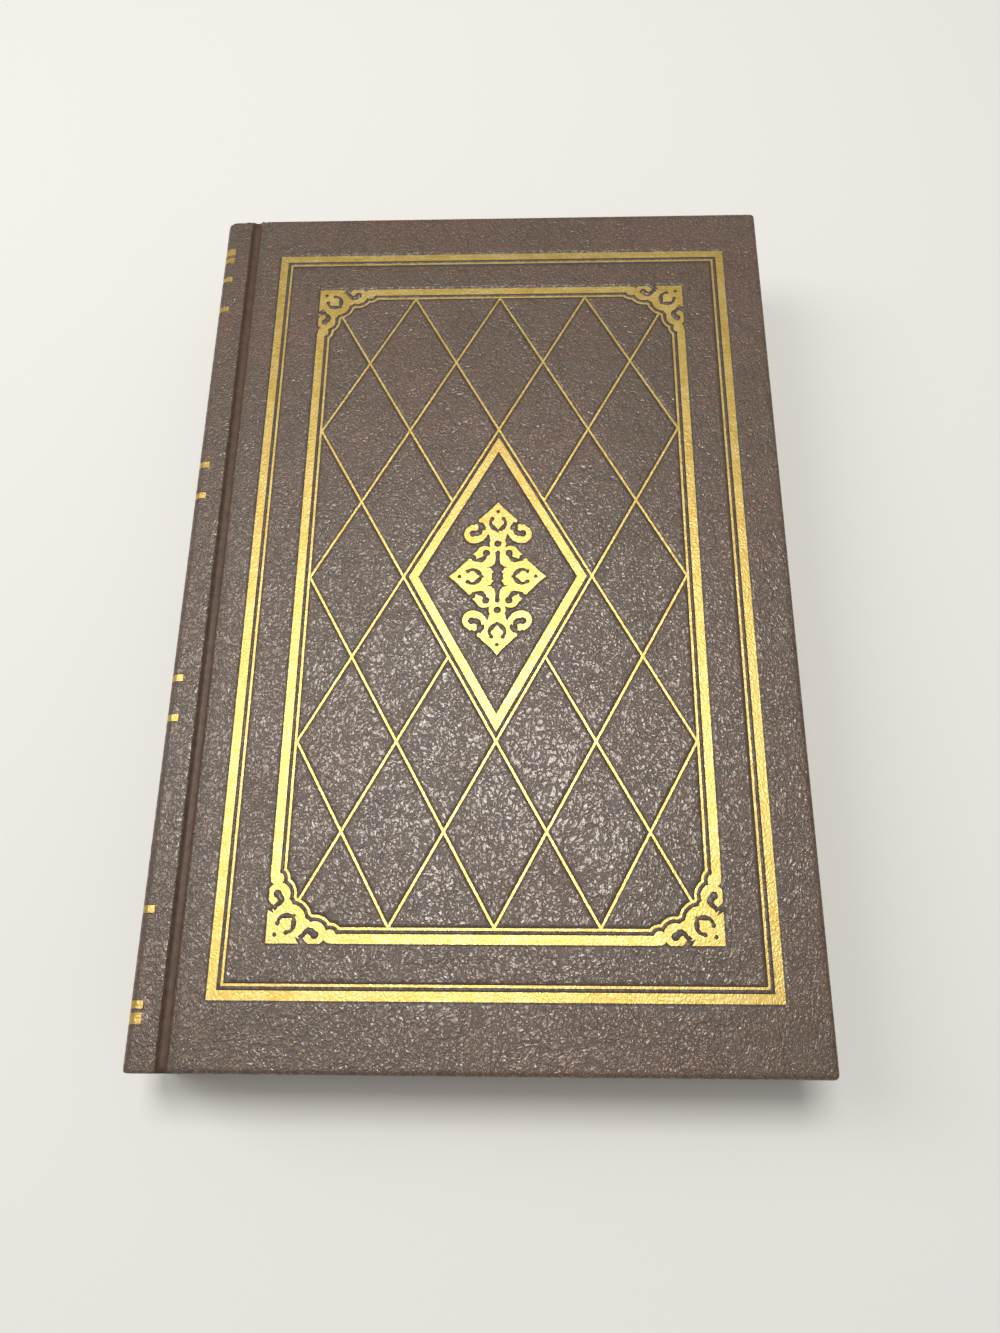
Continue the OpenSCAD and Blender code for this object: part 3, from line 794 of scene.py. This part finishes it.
# rows along the book, with how far each is pulled in; an edge of a gilt line has a row on it and one beside
def spineRows(maxY, edges):
    rounding = spine["endRound"]
    rows = []
    for k in range(spine["endRows"], 0, -1):
        turn = math.radians(90 * k / spine["endRows"])
        rows.append((-maxY + rounding * (1 - math.sin(turn)), rounding * (1 - math.cos(turn))))
    ends = [(-y, pull) for y, pull in reversed(rows)]
    start = rows[-1][0]
    steps = round((-2 * start) / spine["rowStep"])
    between = [start - 2 * start * k / steps for k in range(1, steps)]
    between = [y for y in between if all(abs(y - edge) > spine["lip"] * 2 for edge in edges)]
    for bottom, top in zip(edges[::2], edges[1::2]):
        between += [bottom - spine["lip"], bottom, top, top + spine["lip"]]
    return rows + [(y, 0) for y in sorted(between)] + ends


# how far the leather lies below the plain section in one row, and how dark it is painted there: painted
# shade in the dent and by the groove
def spineRelief(x, around, y, edgeX, fromEnd):
    total = np.zeros(len(x))
    for turn, length, phase in spineWaves:
        total += np.sin((around * math.cos(turn) + y * math.sin(turn)) * 2 * math.pi / length + phase)
    sunk = (0.5 - np.clip(total / waves["full"], -1, 1) * 0.5) * spine["wrinkle"]
    # the long dent, wavering a little
    long, short = spine["waverLengths"]
    waver = (math.sin(y / long) + math.sin(y / short + 1)) * spine["waver"]
    dent = np.exp(-((x - spine["creaseX"] - waver) / spine["creaseWidth"]) ** 2)
    sunk += dent * spine["creaseDepth"]
    # the top slopes down from the ridges to the shoulder, and meets the round of the spine again
    slope = np.clip((spine["ridgeX"] - x) / (spine["ridgeX"] - edgeX), 0, 1)
    width = edgeX - spine["creaseX"] + spine["slopeBack"]
    back = np.clip((x - spine["creaseX"] + spine["slopeBack"]) / width, 0, 1)
    sunk += slope * back * spine["slope"]
    # fine ridges beside the groove
    for k in (0, 1):
        away = (x - spine["ridgeX"] - k * spine["ridgeGap"] - waver * 0.5) / spine["ridgeWidth"]
        rising = 0.6 + 0.4 * math.sin(y / spine["ridgeLength"] + 2 * k)
        sunk -= np.exp(-away ** 2) * spine["ridgeHeight"] * rising
    # pleats that fan out towards the head and the tail
    fan = np.arctan2(x - (spine["grooveX"] - spine["pleatX"]), spine["pleatY"] - fromEnd)
    inward = np.clip((x - edgeX + spine["pleatEdge"]) / spine["pleatRise"], 0, 1)
    fade = max(0, 1 - fromEnd / spine["pleatReach"]) * inward
    sunk += (0.5 - 0.5 * np.cos(fan * spine["pleatCount"])) * fade * spine["pleat"]
    # all of that fades out at the wall of the groove
    smooth = np.clip((spine["grooveX"] + spine["plainFrom"] - x) / spine["plainRise"], 0, 1)
    # painted shade in the long dent and beside the wall of the groove
    scorchAndShade = np.clip(dent * spine["dentShade"] + (1 - smooth) * spine["grooveShade"], 0, 1)
    return sunk * smooth, scorchAndShade


# inside: thick where the leather is turned in over the card
def spineInside(section, maxY, rise, midZ, edgeX):
    x, z, nx, nz = section.T
    side = np.sign(z - midZ)
    isFold = (x > spine["grooveX"] - spine["ridgeRadius"] - 1e-6) & (np.abs(z - midZ) > spine["foldHeight"])
    rows = []
    for y, isThick in ((-maxY, True), (-maxY + spine["turnIn"], True), (-maxY + spine["turnIn"], False),
                       (maxY - spine["turnIn"], False), (maxY - spine["turnIn"], True), (maxY, True)):
        depth = np.where((x < edgeX - spine["foldedFrom"]) & isThick, spine["foldedSkin"], spine["skin"])
        row = np.column_stack([x - nx * depth, np.full(len(x), y), z - nz * depth])
        row[isFold, 0] = np.minimum(row[isFold, 0], spine["grooveX"] - spine["skin"])
        top = np.minimum(np.abs(row[isFold, 2] - midZ), rise - spine["skin"])
        row[isFold, 2] = midZ + side[isFold] * top
        rows.append(row)
    return rows


# faces over the outer rows, the inner rows and the two ends
def spineFaces(across, outerRows, innerRows):
    faces = []
    for j in range(outerRows - 1):
        for k in range(across - 1):
            a = j * across + k
            faces.append((a, a + 1, a + across + 1, a + across))
    first = outerRows * across
    for j in range(innerRows - 1):
        for k in range(across - 1):
            a = first + j * across + k
            faces.append((a, a + across, a + across + 1, a + 1))
    last = first + (innerRows - 1) * across
    for k in range(across - 1):
        faces.append((k, first + k, first + k + 1, k + 1))
        top = (outerRows - 1) * across + k
        faces.append((top, top + 1, last + k + 1, last + k))
    return faces


def spineLeather():
    low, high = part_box("spine_leather")
    section, midZ, edgeX = spineSection(low, high)
    across = len(section)
    x, z, nx, nz = section.T
    around = np.concatenate([[0], np.cumsum(np.hypot(np.diff(x), np.diff(z)))])
    maxY = high.y
    edges = sorted({round(v.co.y, 6) for v in nodes["spine_rules"].data.vertices})
    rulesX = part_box("spine_rules")[1].x
    outer = []
    scorchAndShade = []
    for y, pull in spineRows(maxY, edges):
        # dark is painted shade in the dent and by the groove
        sunk, dark = spineRelief(x, around, y, edgeX, maxY - abs(y))
        if any(bottom <= y <= top for bottom, top in zip(edges[::2], edges[1::2])):
            sunk = np.where(x < rulesX, spine["ruleDepth"], sunk)
        sunk = sunk + pull
        outer.append(np.column_stack([x - nx * sunk, np.full(across, y), z - nz * sunk]))
        scorchAndShade += list(dark)
    inner = spineInside(section, maxY, high.z - midZ, midZ, edgeX)
    points = [p for row in outer + inner for p in row]
    skin = addLeather("spineLeather", points, spineFaces(across, len(outer), len(inner)), scorchAndShade)
    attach(skin, "pages")
    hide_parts("spine_leather")


spineLeather()


# Joints: the leather of the groove and the paper behind it, on both sides

groove = {
    "width": 2.2 * mm,
    "step": 1.5 * mm,        # spacing of the rows along the book
    "skin": 0.70 * mm,
    "endGap": 0.05 * mm,
    # darker than the covers' leather: painted shade of the groove
    "colour": (0.098, 0.053, 0.034),
    "shade": (0.062, 0.033, 0.021),
    # the strip's path, mm across the book and mm below the cover's face, from the ridge of the spine and
    # then from the cover's side, where it ends on the rounded edge
    "fromRidge": ((0.03, 0.68), (0.30, 0.98), (0.80, 1.22), (1.3, 1.28)),
    "fromCover": ((-0.35, 1.18), (0.08, 0.94), (0.42, 0.66), (0.80, 0.44)),
    "paperSkin": 0.02 * mm,
    "paperGap": 0.03 * mm,
    "paperFrom": 0.2 * mm,   # behind the ridge
    "paperLap": 2.0 * mm,    # over the pastedown
    "paperSteps": 14,
}


# the leather of the joints was worked in with the bone folder, so it is smooth and dull; its colour is
# darker as painted shade of the groove
def jointLook():
    look = Look("jointLeather")
    tone = look.noise(look.place(), 2.2 * mm, 3.0, 0.6)
    look.set(Base_Color=look.mix(tone.step(0.3, 0.7), groove["colour"], groove["shade"]),
             Roughness=0.40 + tone * 0.12,
             Normal=look.bump(tone * (0.05 * mm), 1.0))
    look.set(Specular_IOR_Level=0.35)
    return look.material


looks["jointLeather"] = jointLook()


# a strip along the book, with that path as its section and a skin to one side of it
def ribbon(name, path, minY, maxY, skin, look):
    rows = max(2, round((maxY - minY) / groove["step"]))
    across = len(path)
    points = []
    for side in (0, 1):
        for j in range(rows + 1):
            y = minY + (maxY - minY) * j / rows
            for k, (x, z) in enumerate(path):
                ax, az = path[max(0, k - 1)]
                bx, bz = path[min(across - 1, k + 1)]
                length = math.hypot(bx - ax, bz - az)
                nx, nz = (bz - az) / length, -(bx - ax) / length
                points.append((x + nx * skin * side, y, z + nz * skin * side))
    faces = []
    plane = (rows + 1) * across

    def spot(side, j, k):
        return side * plane + j * across + k

    for j in range(rows):
        for k in range(across - 1):
            faces.append((spot(0, j, k), spot(0, j, k + 1), spot(0, j + 1, k + 1), spot(0, j + 1, k)))
            faces.append((spot(1, j, k), spot(1, j + 1, k), spot(1, j + 1, k + 1), spot(1, j, k + 1)))
        for k in (0, across - 1):
            quad = (spot(0, j, k), spot(0, j + 1, k), spot(1, j + 1, k), spot(1, j, k))
            faces.append(quad if k == 0 else tuple(reversed(quad)))
    for k in range(across - 1):
        faces.append((spot(0, 0, k + 1), spot(0, 0, k), spot(1, 0, k), spot(1, 0, k + 1)))
        faces.append((spot(0, rows, k), spot(0, rows, k + 1), spot(1, rows, k + 1), spot(1, rows, k)))
    return addMesh(name, points, faces, look)


def alongCurve(before, a, b, after, t):
    return 0.5 * (2 * a + (b - before) * t + (2 * before - 5 * a + 4 * b - after) * t * t
                  + (3 * a - before - 3 * b + after) * t ** 3)


# a smooth curve through the corners
def smoothPath(corners, per=4):
    path = []
    last = len(corners) - 1
    for k in range(last):
        four = (corners[max(0, k - 1)], corners[k], corners[k + 1], corners[min(last, k + 2)])
        for j in range(per):
            path.append(tuple(alongCurve(*values, j / per) for values in zip(*four)))
    path.append(corners[-1])
    return path


def jointPieces(side, coverNode, up):
    low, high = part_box(coverNode)
    face = high.z if up > 0 else low.z
    coverX = low.x
    ridgeX = coverX - groove["width"]
    corners = [(ridgeX + across * mm, face - up * depth * mm) for across, depth in groove["fromRidge"]]
    corners += [(coverX + across * mm, face - up * depth * mm) for across, depth in groove["fromCover"]]
    path = smoothPath(corners)
    strip = ribbon(side + "Groove", path if up > 0 else path[::-1], low.y + groove["endGap"],
                   high.y - groove["endGap"], groove["skin"], "jointLeather")
    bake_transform(strip)
    paperLow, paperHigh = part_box(side + "_pastedown")
    paperZ = (paperLow.z if up > 0 else paperHigh.z) - up * groove["paperGap"]
    startX, endX = ridgeX - groove["paperFrom"], paperLow.x + groove["paperLap"]
    steps = groove["paperSteps"]
    path = [(startX + (endX - startX) * k / steps, paperZ) for k in range(steps + 1)]
    sheet = ribbon(side + "JointPaper", path if up > 0 else path[::-1], paperLow.y, paperHigh.y,
                   -groove["paperSkin"], "endpaper")
    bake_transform(sheet)


jointPieces("front", "front_leather", 1)
jointPieces("back", "back_leather", -1)
print("joints: leather and paper on both sides")
